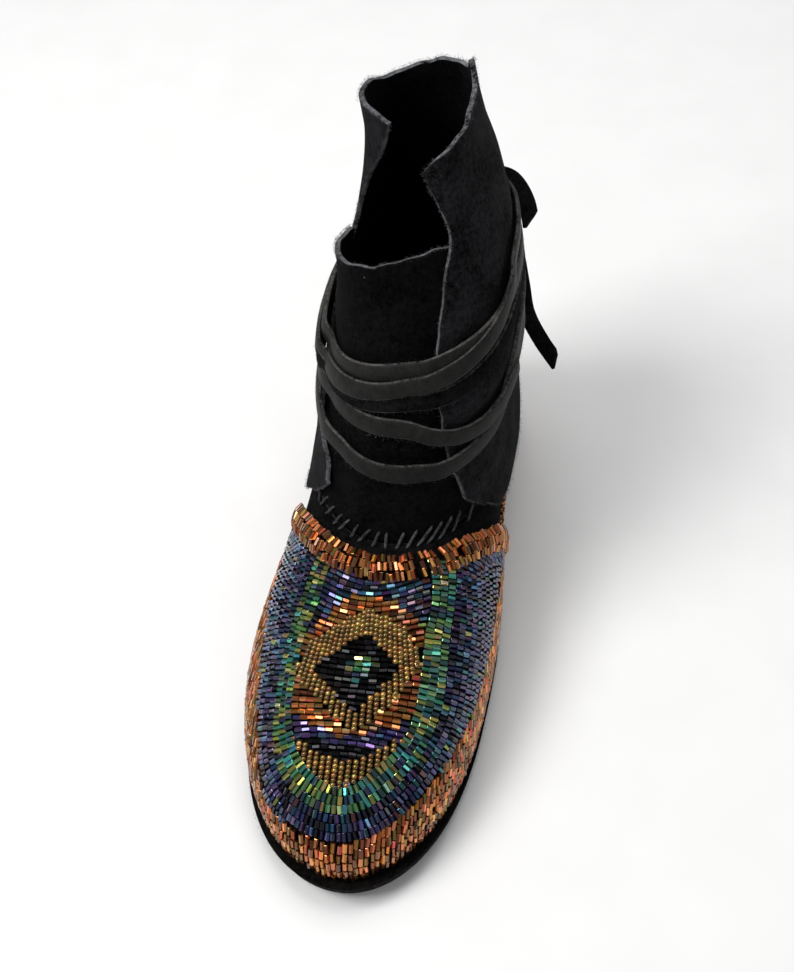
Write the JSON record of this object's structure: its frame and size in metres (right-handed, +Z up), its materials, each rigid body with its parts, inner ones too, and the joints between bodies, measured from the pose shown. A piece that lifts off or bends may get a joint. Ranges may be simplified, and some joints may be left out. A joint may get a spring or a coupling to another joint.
{
  "type": "ankle boot",
  "caption": "Soft-leather ankle boot with a beaded vamp, a standing tongue, a wrap-around shaft and a flat tie wound round the ankle.",
  "frame": {"origin": "on the floor under the middle of the boot's box, without the free ends of the tie", "axes": "+Y from toe to heel, +X to the foot's inner side, +Z up"},
  "size_m": [0.1063, 0.26, 0.1954],
  "materials": {
    "sole": "matt black with a roughed edge",
    "footbed": "matt dark leather",
    "upper_suede": "black suede with a short nap",
    "tongue_suede": "deep black suede with a short nap",
    "shaft_leather": "charcoal brushed leather with raw cut edges",
    "rim_beads": "copper lined cut glass tubes",
    "field_beads": "dark cut glass tubes with a blue, green and violet sheen",
    "roll_beads": "copper lined cut glass tubes",
    "tie_leather": "flat dark thong, smooth on one side and suede on the other"
  },
  "bodies": {
    "root": {"outsole": "sole", "insole": "footbed", "upper": "upper_suede", "tongue": "tongue_suede", "shaft": "shaft_leather", "bead_rim": "rim_beads", "bead_field": "field_beads", "bead_roll": "roll_beads", "wrap_thong": "tie_leather", "tie_knot": "tie_leather", "tie_end_long": "tie_leather", "tie_end_short": "tie_leather"}
  },
  "joints": []
}
